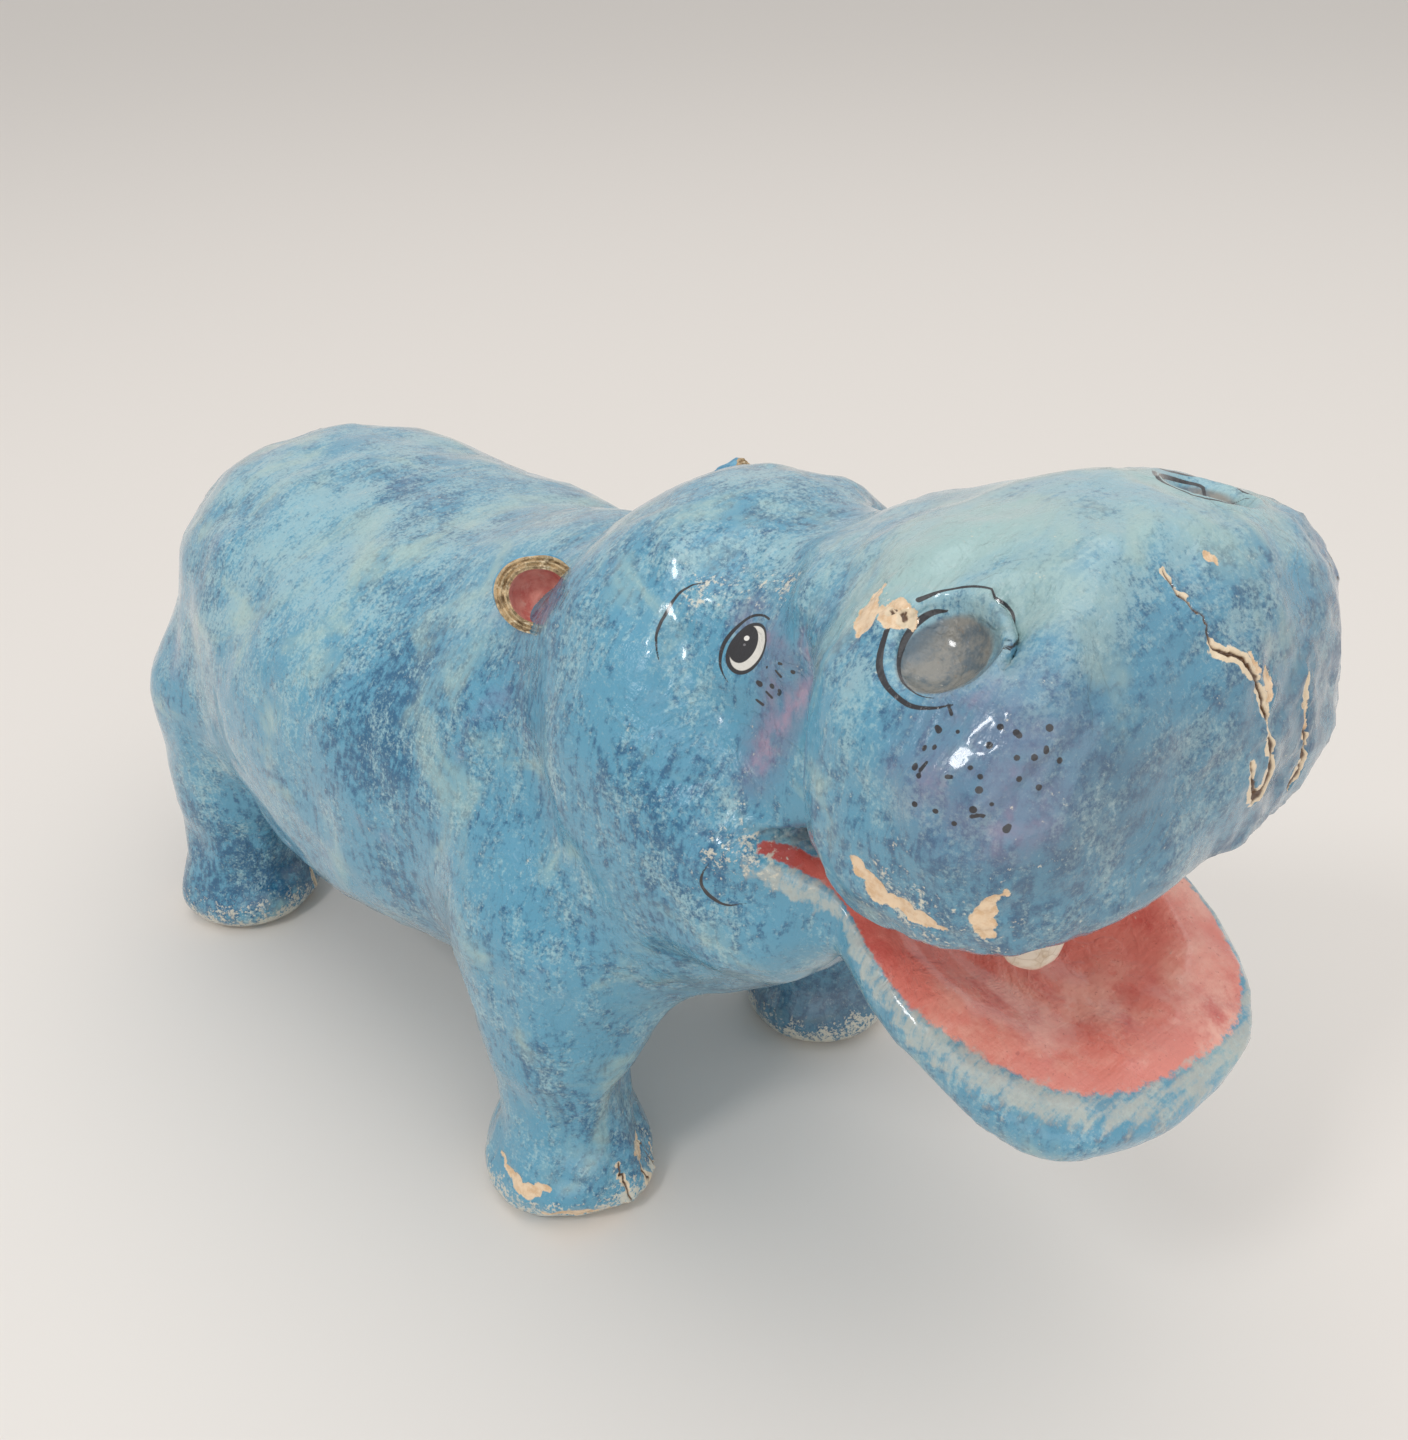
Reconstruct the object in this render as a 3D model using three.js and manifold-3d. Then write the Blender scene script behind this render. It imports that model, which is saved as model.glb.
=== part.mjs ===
// A papier-mache hippopotamus that stands on its own four feet with its mouth wide open.
// One hand-built shell makes the body, head, jaws, legs and tail. Two ears and two teeth are glued on.
// Millimetres, +Z up. The animal faces -Y, its right side is -X, and the soles stand on z = 0.
import * as THREE from "three";
import { mergeVertices } from "three/addons/utils/BufferGeometryUtils.js";
import Module from "manifold-3d";

const wasm = await Module();
wasm.setup();

// ---------- driving dimensions, measured from the middle of the front feet ----------
// Spacing of the grid that the skin is sculpted on: sideways and upwards, and along the head and body.
const grid = { side: 12, up: 10.5, head: 9.5, body: 25, headEnds: -70, bodyStarts: 60 };
const space = { halfWidth: 130, front: -250, back: 350, bottom: -32, top: 340 }; // what the grid covers

// Each form is a pillow: its centre, its half sizes, how it pitches nose-up in degrees, and how
// square it is in plan and in section (2 is an ellipsoid, more is boxier).
const torso = {
  belly: { at: [0, 145, 137], size: [108, 162, 96], square: 2.2 },
  rump: { at: [0, 242, 158], size: [84, 82, 74], square: 2.2, section: 2.5 },
  shoulders: { at: [0, 40, 162], size: [86, 90, 87], square: 2 },
  chest: { at: [0, -30, 143], size: [66, 56, 52], square: 2.2 },
  blend: 26,
};
const leg = {
  front: [73, 0], // each sole's centre: sideways from the middle, and along the animal
  rear: [78, 261],
  hip: [64, 120],
  top: 41,
  ankle: 26.5,
  ankleHeight: 30,
  foot: 33.5,
  footMiddle: 13,
  footHeight: 23,
  blend: 10,
};
const head = {
  skull: { at: [0, -32, 205], size: [84, 72, 83], square: 2 },
  jowl: { at: [38, -60, 180], size: [42, 56, 54], square: 2 },
  blend: 22,
};
const muzzle = {
  nose: { at: [0, -166, 254], size: [91, 51, 65], pitch: 3, square: 2.8, section: 2.3 },
  bridge: { at: [0, -122, 252], size: [58, 58, 50], pitch: 14, square: 2.4 },
  blend: 26,
  swing: 2, // how far the hand-built form sits over to the animal's left
};
const jaw = {
  lip: { at: [0, -165, 165], size: [66, 62, 22], pitch: -26, square: 2.5, section: 2.4 },
  hinge: { at: [0, -112, 191], size: [53, 74, 24], pitch: -26, square: 3, section: 2.6 },
  blend: 16,
  swing: 4.5,
};
const dish = { at: [0, -143, 208], size: [47, 75, 37], pitch: -26, square: 2.6, blend: 14 };
// Its corner in y and z, the degrees that it opens up and down, and the palate's arch.
const mouth = { corner: [-92, 205], up: 9, down: 24, blend: 7, arch: 5, archHalf: 88, archLength: 120 };
const crease = { neck: 18, muzzle: 22, thigh: 34, hip: 20 }; // how softly the big forms run into each other
const nostril = { radius: 12.5, deep: 6 };
nostril.right = { at: [-64, -165, 297.5], facing: [-0.48, -0.1, 0.87] };
nostril.left = { at: [44, -170, 309], facing: [0.12, -0.22, 0.97] };
const ear = { at: [54, 22, 247], facing: [0.6, -0.62, 0.5], radius: 14, wall: 4.5, deep: 11, root: 27 };
ear.leftIsHigher = 9.4;
const tooth = { at: [50, -191, 218.5], radius: 9.5, tall: 12.5 };
const tail = { from: [0, 318, 194], to: [0, 327, 154], thick: 7 };
const gap = 0.3; // air left between a glued-on piece and the shell, so that they stay apart

// ---------- the sculpting fields: negative inside, about the distance in millimetres ----------
const radians = (degrees) => (degrees * Math.PI) / 180;

// A point seen from a form that is pitched nose-up: y runs towards its tail and z out of its back.
function local(p, at, pitch) {
  const c = Math.cos(radians(pitch));
  const s = Math.sin(radians(pitch));
  const [x, y, z] = [p[0] - at[0], p[1] - at[1], p[2] - at[2]];
  return [x, c * y - s * z, s * y + c * z];
}

function pillow(p, { at, size, pitch = 0, square = 2, section = square }) {
  const [x, y, z] = local(p, at, pitch).map((v, n) => Math.abs(v) / size[n]);
  const plan = x ** square + y ** square;
  const reach = (plan ** (section / square) + z ** section) ** (1 / section);
  if (reach < 0.05) return -Math.min(...size);
  const outer = reach ** (1 - section);
  const inner = plan > 0 ? plan ** (section / square - 1) : 0;
  const slope = Math.hypot(
    (outer * inner * x ** (square - 1)) / size[0],
    (outer * inner * y ** (square - 1)) / size[1],
    (outer * z ** (section - 1)) / size[2],
  );
  return (reach - 1) / slope;
}

// A tapered limb between two points, round at both ends.
function limb(p, from, to, r0, r1) {
  const d = to.map((v, i) => v - from[i]);
  const q = p.map((v, i) => v - from[i]);
  const t = (q[0] * d[0] + q[1] * d[1] + q[2] * d[2]) / (d[0] ** 2 + d[1] ** 2 + d[2] ** 2);
  const s = Math.min(1, Math.max(0, t));
  return Math.hypot(q[0] - s * d[0], q[1] - s * d[1], q[2] - s * d[2]) - (r0 + s * (r1 - r0));
}

const join = (a, b, k) => {
  const h = Math.max(k - Math.abs(a - b), 0) / k;
  return Math.min(a, b) - (h * h * k) / 4;
};
const cut = (a, b, k) => -join(-a, b, k);

function torsoField(p) {
  const barrel = join(pillow(p, torso.belly), pillow(p, torso.rump), torso.blend);
  return join(join(barrel, pillow(p, torso.shoulders), torso.blend), pillow(p, torso.chest), torso.blend);
}

function legField(p, [out, y]) {
  const thigh = limb(p, [leg.hip[0], y, leg.hip[1]], [out, y, leg.ankleHeight], leg.top, leg.ankle);
  const foot = pillow(p, { at: [out, y, leg.footMiddle], size: [leg.foot, leg.foot, leg.footHeight] });
  return join(thigh, foot, leg.blend);
}

// The open mouth is a wedge between the palate and the lower lip, from its corner forwards. The palate
// arches a little higher in the middle than at its sides.
function mouthField(p) {
  const ahead = mouth.corner[0] - p[1];
  const height = p[2] - mouth.corner[1];
  const across = Math.max(0, 1 - (p[0] / mouth.archHalf) ** 2);
  const arch = mouth.arch * across * Math.max(0, ahead / mouth.archLength);
  const under = (angle, above, side) =>
    side * above * Math.cos(radians(angle)) - ahead * Math.sin(radians(angle));
  return -join(-under(mouth.up, height - arch, 1), -under(mouth.down, height, -1), mouth.blend);
}

function skin(x, y, z) {
  const p = [Math.abs(x), y, z];
  const nosed = [Math.abs(x - muzzle.swing), y, z];
  const jawed = [Math.abs(x - jaw.swing), y, z];
  let f = join(pillow(p, head.skull), pillow(p, head.jowl), head.blend);
  f = join(torsoField(p), f, crease.neck);
  f = join(f, join(pillow(jawed, jaw.lip), pillow(jawed, jaw.hinge), jaw.blend), jaw.blend);
  f = join(f, join(pillow(nosed, muzzle.nose), pillow(nosed, muzzle.bridge), muzzle.blend), crease.muzzle);
  f = cut(f, mouthField(nosed), mouth.blend);
  f = cut(f, pillow(jawed, dish), dish.blend);
  f = join(f, legField(p, leg.front), crease.thigh);
  f = join(f, legField(p, leg.rear), crease.hip);
  return f;
}

// ---------- the skin as a closed mesh ----------
// Each grid cell that the surface passes through gets one vertex, moved onto the surface.
// Each grid edge that it crosses gets a quad between the four cells around that edge.
function sculpt(field, lines) {
  const count = lines.map((line) => line.length);
  const at = (i, j, k) => (k * count[1] + j) * count[0] + i;
  const place = (i, j, k) => [lines[0][i], lines[1][j], lines[2][k]];
  const value = new Float64Array(count[0] * count[1] * count[2]);
  for (let k = 0; k < count[2]; k++)
    for (let j = 0; j < count[1]; j++)
      for (let i = 0; i < count[0]; i++) value[at(i, j, k)] = field(...place(i, j, k));

  const corners = [0, 1, 2, 3, 4, 5, 6, 7].map((n) => [n & 1, (n >> 1) & 1, n >> 2]);
  const vertexOf = new Map();
  const positions = [];
  const vertex = (i, j, k) => {
    const key = at(i, j, k);
    if (vertexOf.has(key)) return vertexOf.get(key);
    const sum = [0, 0, 0];
    let crossings = 0;
    for (const a of corners)
      for (let axis = 0; axis < 3; axis++) {
        if (a[axis]) continue;
        const b = a.map((v, n) => (n === axis ? 1 : v));
        const va = value[at(i + a[0], j + a[1], k + a[2])];
        const vb = value[at(i + b[0], j + b[1], k + b[2])];
        if (va < 0 === vb < 0) continue;
        const t = va / (va - vb);
        a.forEach((v, n) => (sum[n] += v + t * (b[n] - v)));
        crossings += 1;
      }
    const cell = [i, j, k].map((v, n) => lines[n][v + 1] - lines[n][v]);
    const start = [i, j, k].map((v, n) => lines[n][v] + (cell[n] * sum[n]) / crossings);
    positions.push(...ontoSurface(field, start, Math.min(...cell)));
    vertexOf.set(key, positions.length / 3 - 1);
    return vertexOf.get(key);
  };

  const faces = [];
  for (let k = 1; k < count[2] - 1; k++)
    for (let j = 1; j < count[1] - 1; j++)
      for (let i = 1; i < count[0] - 1; i++)
        for (let axis = 0; axis < 3; axis++) {
          const next = [i, j, k].map((v, n) => v + (n === axis));
          const inside = value[at(i, j, k)] < 0;
          if (inside === value[at(...next)] < 0) continue;
          const u = (axis + 1) % 3;
          const v = (axis + 2) % 3;
          const ring = [[0, 0], [1, 0], [1, 1], [0, 1]].map(([a, b]) => {
            const cell = [i, j, k];
            cell[u] -= a;
            cell[v] -= b;
            return vertex(...cell);
          });
          if (!inside) ring.reverse();
          faces.push(ring[0], ring[1], ring[2], ring[0], ring[2], ring[3]);
        }
  const geometry = new THREE.BufferGeometry();
  geometry.setAttribute("position", new THREE.Float32BufferAttribute(positions, 3));
  geometry.setIndex(faces);
  return geometry;
}

// Moves a point onto the field's zero level, never further than one grid step.
function ontoSurface(field, start, step) {
  const h = 0.5;
  let p = start;
  for (let round = 0; round < 4; round++) {
    const f = field(...p);
    const slope = [0, 1, 2].map((n) => {
      const q = [...p];
      q[n] += h;
      return (field(...q) - f) / h;
    });
    const size = slope[0] ** 2 + slope[1] ** 2 + slope[2] ** 2;
    if (size < 1e-6) break;
    const moved = p.map((v, n) => v - (f * slope[n]) / size);
    if (Math.hypot(...moved.map((v, n) => v - start[n])) > 0.7 * step) break;
    p = moved;
  }
  return p;
}

function solid(geometry) {
  const merged = mergeVertices(geometry);
  return new wasm.Manifold(
    new wasm.Mesh({
      numProp: 3,
      vertProperties: new Float32Array(merged.attributes.position.array),
      triVerts: new Uint32Array(merged.index.array),
    }),
  );
}

function geometryOf(manifold) {
  const mesh = manifold.getMesh();
  const geometry = new THREE.BufferGeometry();
  geometry.setAttribute("position", new THREE.Float32BufferAttribute(mesh.vertProperties, 3));
  geometry.setIndex(new THREE.BufferAttribute(mesh.triVerts, 1));
  return geometry;
}

// Grid lines from one value to another, spaced as step says at each place.
function lines(from, to, step) {
  const made = [from];
  while (made.at(-1) < to) made.push(made.at(-1) + step(made.at(-1)));
  return made;
}

// Lines that mirror about zero, so that both sides of the animal come out alike.
function mirrored(reach, step) {
  const half = lines(step / 2, reach, () => step);
  return [...half.map((v) => -v).reverse(), ...half];
}

const along = (y) => {
  const t = (y - grid.headEnds) / (grid.bodyStarts - grid.headEnds);
  return grid.head + (grid.body - grid.head) * Math.min(1, Math.max(0, t));
};
const skinMesh = sculpt(skin, [
  mirrored(space.halfWidth, grid.side),
  lines(space.front, space.back, along),
  lines(space.bottom, space.top, () => grid.up),
]);

// ---------- the shell: flat soles, and two nostrils pressed into the top of the muzzle ----------
const vector = (v) => new THREE.Vector3(...v);
const plain = (geometry) => {
  geometry.deleteAttribute("normal");
  geometry.deleteAttribute("uv");
  return solid(geometry);
};
const floorCut = { width: 400, length: 900, thick: 100 };
const soles = plain(
  new THREE.BoxGeometry(floorCut.width, floorCut.length, floorCut.thick).translate(0, 0, -floorCut.thick / 2),
);

// A sphere that leaves a hollow of this radius and depth where it is pressed in.
const sphere = (nostril.radius ** 2 + nostril.deep ** 2) / (2 * nostril.deep);
function nostrilPress({ at: thumb, facing }) {
  const out = vector(facing).normalize().multiplyScalar(sphere - nostril.deep);
  const at = vector(thumb).add(out);
  return plain(new THREE.SphereGeometry(sphere, 24, 18).translate(at.x, at.y, at.z));
}
// A short plain roll of paper lies down the rump as the tail.
function tailRoll() {
  const [from, to] = [vector(tail.from), vector(tail.to)];
  const turn = new THREE.Quaternion().setFromUnitVectors(
    new THREE.Vector3(0, 1, 0), to.clone().sub(from).normalize());
  const middle = from.clone().add(to).multiplyScalar(0.5);
  const roll = new THREE.CapsuleGeometry(tail.thick, from.distanceTo(to), 4, 12);
  return plain(roll.applyQuaternion(turn).translate(...middle.toArray()));
}
let shell = solid(skinMesh).subtract(soles).add(tailRoll());
for (const press of [nostril.right, nostril.left]) shell = shell.subtract(nostrilPress(press));

// ---------- ears: thick cups, glued in the crease behind the head and cut back to the shell ----------
function earSolid(side) {
  const { radius, wall, deep, root } = ear;
  const profile = [
    [0, -root],
    [radius * 0.6, -root * 0.92],
    [radius * 0.92, -root * 0.6],
    [radius, -wall],
    [radius - wall * 0.3, 0],
    [radius - wall, -wall * 0.3],
    [radius - wall * 1.3, -deep * 0.7],
    [0, -deep],
  ].map(([x, y]) => new THREE.Vector2(x, y));
  const aim = vector(ear.facing).normalize();
  aim.x *= side;
  const turn = new THREE.Quaternion().setFromUnitVectors(new THREE.Vector3(0, 1, 0), aim);
  const cup = new THREE.LatheGeometry(profile, 20).applyQuaternion(turn);
  cup.translate(side * ear.at[0], ear.at[1], ear.at[2] + (side > 0 ? ear.leftIsHigher : 0));
  const clear = aim.multiplyScalar(gap);
  return plain(cup).subtract(shell).subtract(shell.translate(clear.x, clear.y, clear.z));
}

// ---------- teeth: round pegs that hang from the palate behind the upper lip ----------
function toothSolid(side) {
  const peg = new THREE.SphereGeometry(tooth.radius, 14, 10).scale(1, 1, tooth.tall / tooth.radius);
  peg.translate(side * tooth.at[0], tooth.at[1], tooth.at[2]);
  return plain(peg).subtract(shell).subtract(shell.translate(0, 0, -gap));
}

// ---------- the group: the middle of the whole animal stands on the origin ----------
const group = new THREE.Group();
const box = shell.boundingBox();
const middle = (box.min[1] + box.max[1]) / 2;
const paint = (color, roughness) => new THREE.MeshStandardMaterial({ color, roughness, metalness: 0 });
function add(name, manifold, material) {
  const mesh = new THREE.Mesh(geometryOf(manifold).translate(0, -middle, 0), material);
  mesh.name = name;
  group.add(mesh);
}
add("body", shell, paint(0x5f9dbd, 0.4));
add("ear_right", earSolid(-1), paint(0xb9675f, 0.6));
add("ear_left", earSolid(1), paint(0xb9675f, 0.6));
add("tooth_right", toothSolid(-1), paint(0xe9e0cf, 0.4));
add("tooth_left", toothSolid(1), paint(0xe9e0cf, 0.4));
export default group;
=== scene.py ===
# A papier-mache hippopotamus, painted blue by hand and varnished, standing with its mouth open.
# One shell of paper makes the barrel, head, jaws, legs and tail. The ears and teeth are glued on.
# The animal faces -Y and its right side is -X. Forms are given in millimetres, measured from the
# middle of the front feet, and are set into the frame in metres when their meshes are made.
import math

import bpy
import numpy as np
from mathutils import Matrix, Vector


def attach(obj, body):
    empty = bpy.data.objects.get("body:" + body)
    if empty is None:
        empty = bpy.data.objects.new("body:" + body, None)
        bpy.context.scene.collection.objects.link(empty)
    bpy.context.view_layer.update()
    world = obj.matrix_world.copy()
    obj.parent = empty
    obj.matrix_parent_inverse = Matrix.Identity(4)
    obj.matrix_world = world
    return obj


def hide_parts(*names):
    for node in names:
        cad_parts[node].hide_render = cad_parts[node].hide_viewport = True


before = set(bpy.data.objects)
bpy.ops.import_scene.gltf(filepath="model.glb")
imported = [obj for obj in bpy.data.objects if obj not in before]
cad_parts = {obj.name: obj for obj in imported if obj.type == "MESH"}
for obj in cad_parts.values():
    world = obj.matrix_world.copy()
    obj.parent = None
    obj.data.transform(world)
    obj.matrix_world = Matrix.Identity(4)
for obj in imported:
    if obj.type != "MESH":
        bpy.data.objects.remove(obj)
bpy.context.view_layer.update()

# ---------------- the shell
# Torn strips of paper and glue, laid in layers over a rough core and rubbed down by hand, so big
# round forms run softly into each other. The mouth is cut out of the finished round head.
front_feet_to_origin = 56.008
crease = dict(neck=18, muzzle=22, thigh=34, hip=20, ankle=10, jowl=22, back=26, jaw=16, bridge=26, tail=5)
soft_edge = dict(mouth=7, dish=14, sole=5, nostril=3)

belly = dict(at=(0, 145, 137), size=(108, 162, 96), square=2.2)
rump = dict(at=(0, 242, 158), size=(84, 82, 74), square=2.2, section=2.5)
shoulders = dict(at=(0, 40, 162), size=(86, 90, 87))
chest = dict(at=(0, -30, 143), size=(66, 56, 52), square=2.2)
skull = dict(at=(0, -32, 205), size=(84, 72, 83))
jowl = dict(at=(38, -60, 180), size=(42, 56, 54))
nose = dict(at=(0, -166, 254), size=(91, 51, 65), pitch=3, square=2.8, section=2.3)
bridge = dict(at=(0, -122, 252), size=(58, 58, 50), pitch=14, square=2.4)
lower_lip = dict(at=(0, -165, 165), size=(66, 62, 22), pitch=-26, square=2.5, section=2.4)
jaw_hinge = dict(at=(0, -112, 191), size=(53, 74, 24), pitch=-26, square=3, section=2.6)
jaw_dish = dict(at=(0, -143, 208), size=(47, 75, 37), pitch=-26, square=2.6)
nose_swing, jaw_swing = 2, 4.5
mouth_corner, palate_rise, jaw_drop = (-92, 205), 9, 24
palate_arch, arch_half_width, arch_length = 5, 88, 120
hip_side, hip_height = 64, 120
thigh_radius, ankle_radius, ankle_height = 41, 26.5, 30
foot = dict(radius=33.5, middle=13, height=23)
front_sole, rear_sole = (73, 0), (78, 261)
right_nostril = np.array([-64, -165, 297.5]), np.array([-0.48, -0.1, 0.87])
left_nostril = np.array([44, -170, 309]), np.array([0.12, -0.22, 0.97])
nostril_radius, nostril_depth = 12.5, 6
tail_from, tail_to, tail_radius = (0, 318, 194), (0, 327, 154), 7


def pillow(p, at, size, pitch=0, square=2, section=None):
    """About how far each point lies outside a rounded block, negative inside it.

    The least values keep its middle, where the slope is lost, from a division by nothing.
    """
    section = section or square
    c, s = math.cos(math.radians(pitch)), math.sin(math.radians(pitch))
    x, y, z = p[0] - at[0], p[1] - at[1], p[2] - at[2]
    x, y, z = np.abs(x) / size[0], np.abs(c * y - s * z) / size[1], np.abs(s * y + c * z) / size[2]
    plan = np.maximum(x**square + y**square, 1e-9)
    reach = np.maximum((plan ** (section / square) + z**section) ** (1 / section), 0.02)
    outer, inner = reach ** (1 - section), plan ** (section / square - 1)
    slope = np.sqrt(
        (outer * inner * x ** (square - 1) / size[0]) ** 2
        + (outer * inner * y ** (square - 1) / size[1]) ** 2
        + (outer * z ** (section - 1) / size[2]) ** 2
    )
    return np.maximum((reach - 1) / np.maximum(slope, 1e-4), -min(size))


def limb(p, start, end, start_radius, end_radius):
    """The same for a round limb that tapers from one point to another."""
    start, end = np.array(start, float), np.array(end, float)
    along = end - start
    q = p - start[:, None]
    t = np.clip(along @ q / (along @ along), 0, 1)
    away = q - along[:, None] * t
    return np.sqrt((away**2).sum(0)) - (start_radius + t * (end_radius - start_radius))


def join(a, b, softness):
    """Two forms made one, with a soft crease where they meet."""
    h = np.maximum(softness - np.abs(a - b), 0) / softness
    return np.minimum(a, b) - h * h * softness / 4


def cut(a, b, softness):
    """A form with another one cut out of it, with a soft edge."""
    return -join(-a, b, softness)


def leg(p, sole):
    """A tapering leg on a round foot that flares a little."""
    out, y = sole
    thigh = limb(p, (hip_side, y, hip_height), (out, y, ankle_height), thigh_radius, ankle_radius)
    pad = pillow(p, (out, y, foot["middle"]), (foot["radius"], foot["radius"], foot["height"]))
    return join(thigh, pad, crease["ankle"])


def over_by(p, swing):
    """Places as a form sees them that sits a little over to the animal's left, the same both ways."""
    return np.array([np.abs(p[0] - swing), p[1], p[2]])


def mouth_wedge(p):
    """The open mouth, a wedge from its corner forwards: negative inside the wedge."""
    p = over_by(p, nose_swing)
    ahead, height = mouth_corner[0] - p[1], p[2] - mouth_corner[1]
    arch = np.maximum(0, 1 - (p[0] / arch_half_width) ** 2) * np.maximum(0, ahead / arch_length)

    def under(angle, above, side):
        return side * above * math.cos(math.radians(angle)) - ahead * math.sin(math.radians(angle))

    palate = under(palate_rise, height - palate_arch * arch, 1)
    return -join(-palate, -under(jaw_drop, height, -1), soft_edge["mouth"])


def closed_form(p):
    """The barrel, head and both jaws before the mouth is cut open."""
    both, nosed, jawed = over_by(p, 0), over_by(p, nose_swing), over_by(p, jaw_swing)
    barrel = pillow(p, **belly)
    for block in (rump, shoulders, chest):
        barrel = join(barrel, pillow(p, **block), crease["back"])
    head = join(pillow(both, **skull), pillow(both, **jowl), crease["jowl"])
    jaw = join(pillow(jawed, **lower_lip), pillow(jawed, **jaw_hinge), crease["jaw"])
    muzzle = join(pillow(nosed, **nose), pillow(nosed, **bridge), crease["bridge"])
    form = join(join(barrel, head, crease["neck"]), jaw, crease["jaw"])
    return join(form, muzzle, crease["muzzle"])


def nostril_press(p, nostril):
    """A round thumb pressed into the muzzle, which leaves a shallow dish."""
    ball = (nostril_radius**2 + nostril_depth**2) / (2 * nostril_depth)
    at, facing = nostril
    centre = at + facing / np.linalg.norm(facing) * (ball - nostril_depth)
    return np.sqrt(((p - centre[:, None]) ** 2).sum(0)) - ball


def shell_form(p):
    """About how far each point lies outside the whole shell, negative inside it."""
    both = over_by(p, 0)
    form = cut(closed_form(p), mouth_wedge(p), soft_edge["mouth"])
    form = cut(form, pillow(over_by(p, jaw_swing), **jaw_dish), soft_edge["dish"])
    form = join(form, leg(both, front_sole), crease["thigh"])
    form = join(form, leg(both, rear_sole), crease["hip"])
    form = join(form, limb(p, tail_from, tail_to, tail_radius, tail_radius), crease["tail"])
    for nostril in (right_nostril, left_nostril):
        form = cut(form, nostril_press(p, nostril), soft_edge["nostril"])
    return cut(form, p[2], soft_edge["sole"])


def slope_of(form, p, step=0.4):
    """The direction in which a form's distance grows fastest, which points out of its surface."""
    here = form(p)
    steps = [form(p + step * np.eye(3)[n][:, None]) for n in range(3)]
    return here, (np.array(steps) - here) / step


def onto(form, p, rounds=4):
    """Moves points onto a form's surface."""
    p = p.copy()
    for _ in range(rounds):
        here, slope = slope_of(form, p)
        p -= slope * here / np.maximum((slope**2).sum(0), 0.2)
    return p


def wrap_in_paper(form, lows, highs, step):
    """A closed skin of four-sided faces over a form, about one step wide each."""
    lines = [np.arange(lo, hi + step, step) for lo, hi in zip(lows, highs)]
    grid = np.array(np.meshgrid(*lines, indexing="ij"))
    value = form(grid.reshape(3, -1)).reshape(grid.shape[1:])
    inside = value < 0
    corners = [(i, j, k) for k in (0, 1) for j in (0, 1) for i in (0, 1)]
    nx, ny, nz = (n - 1 for n in value.shape)
    count = sum(inside[i : nx + i, j : ny + j, k : nz + k].astype(np.int8) for i, j, k in corners)
    cells = np.argwhere((count > 0) & (count < 8))
    at_corner = [value[tuple((cells + c).T)] for c in corners]
    total, crossings = np.zeros((3, len(cells))), np.zeros(len(cells))
    for a in range(8):
        for axis in range(3):
            if corners[a][axis]:
                continue
            b = a + (1, 2, 4)[axis]
            crossed = (at_corner[a] < 0) != (at_corner[b] < 0)
            t = np.where(crossed, at_corner[a] / (at_corner[a] - at_corner[b] + 1e-12), 0)
            place = np.array(corners[a], float)[:, None] + t * np.eye(3)[axis][:, None]
            total += np.where(crossed, place, 0)
            crossings += crossed
    points = np.array(lows, float)[:, None] + (cells.T + total / crossings) * step
    number = np.full((nx, ny, nz), -1)
    number[tuple(cells.T)] = np.arange(len(cells))
    faces = []
    for axis in range(3):
        u, v = np.eye(3, dtype=int)[(axis + 1) % 3], np.eye(3, dtype=int)[(axis + 2) % 3]
        step_up = np.eye(3, dtype=int)[axis]
        starts = np.argwhere(np.ones_like(number[1:, 1:, 1:], bool)) + 1
        here = inside[tuple(starts.T)]
        there = inside[tuple((starts + step_up).T)]
        starts, here = starts[here != there], here[here != there]
        ring = [number[tuple((starts - a * u - b * v).T)] for a, b in ((0, 0), (1, 0), (1, 1), (0, 1))]
        ring = np.array(ring).T
        ring[~here] = ring[~here][:, ::-1]
        faces.append(ring)
    return onto(form, points), np.concatenate(faces)


wrap_low, wrap_high, skin_step = (-121, -232, -8), (121, 346, 332), 3.25
skin, skin_faces = wrap_in_paper(shell_form, wrap_low, wrap_high, skin_step)
skin_faces = np.concatenate([skin_faces[:, [0, 1, 2]], skin_faces[:, [0, 2, 3]]])

# ---------------- the painted face
# Eyes, brows, nostril rings, dimples and whisker spots, drawn on the shell in black with a thin
# brush, thick where the brush was pressed and thin where it was lifted.
eye_at, eye_facing = np.array([-50, -78, 260]), np.array([-0.89, 0.09, 0.45])
hollow_at, hollow_facing = np.array([-59, -160, 295]), np.array([-0.28, -0.32, 0.9])
far_hollow_at, far_hollow_facing = np.array([-39, -166, 308]), np.array([-0.05, -0.36, 0.93])
whiskers_at, whiskers_facing = np.array([-79, -190, 281]), np.array([-0.71, -0.6, 0.37])
cheek_at, cheek_facing = np.array([-53, -91, 254]), np.array([-0.85, -0.4, 0.35])
lid_knots = [(3.4, 11.6, 0.4), (0.6, 11.8, 0.4), (-2.4, 10.8, 0.45), (-5, 8.6, 0.5), (-7, 5.7, 0.6),
             (-8.2, 2.6, 0.7), (-8.6, -0.7, 0.7), (-8.1, -4, 0.6), (-7, -7, 0.45), (-5.6, -9, 0.3),
             (-4, -10.6, 0.2), (-2.6, -11.6, 0.1)]
ring_knots = [(-10.4, 3.2, 0.9), (-7.3, 8, 0.75), (-3.5, 11.4, 0.6), (1.5, 13.2, 0.4), (6.5, 13.2, 0.4),
              (10.4, 11.4, 0.45), (13.4, 8, 0.32), (15.4, 4, 0.28), (16.4, 0.5, 0.25), (16.6, -3, 0.2),
              (16, -8, 0.1)]
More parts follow.
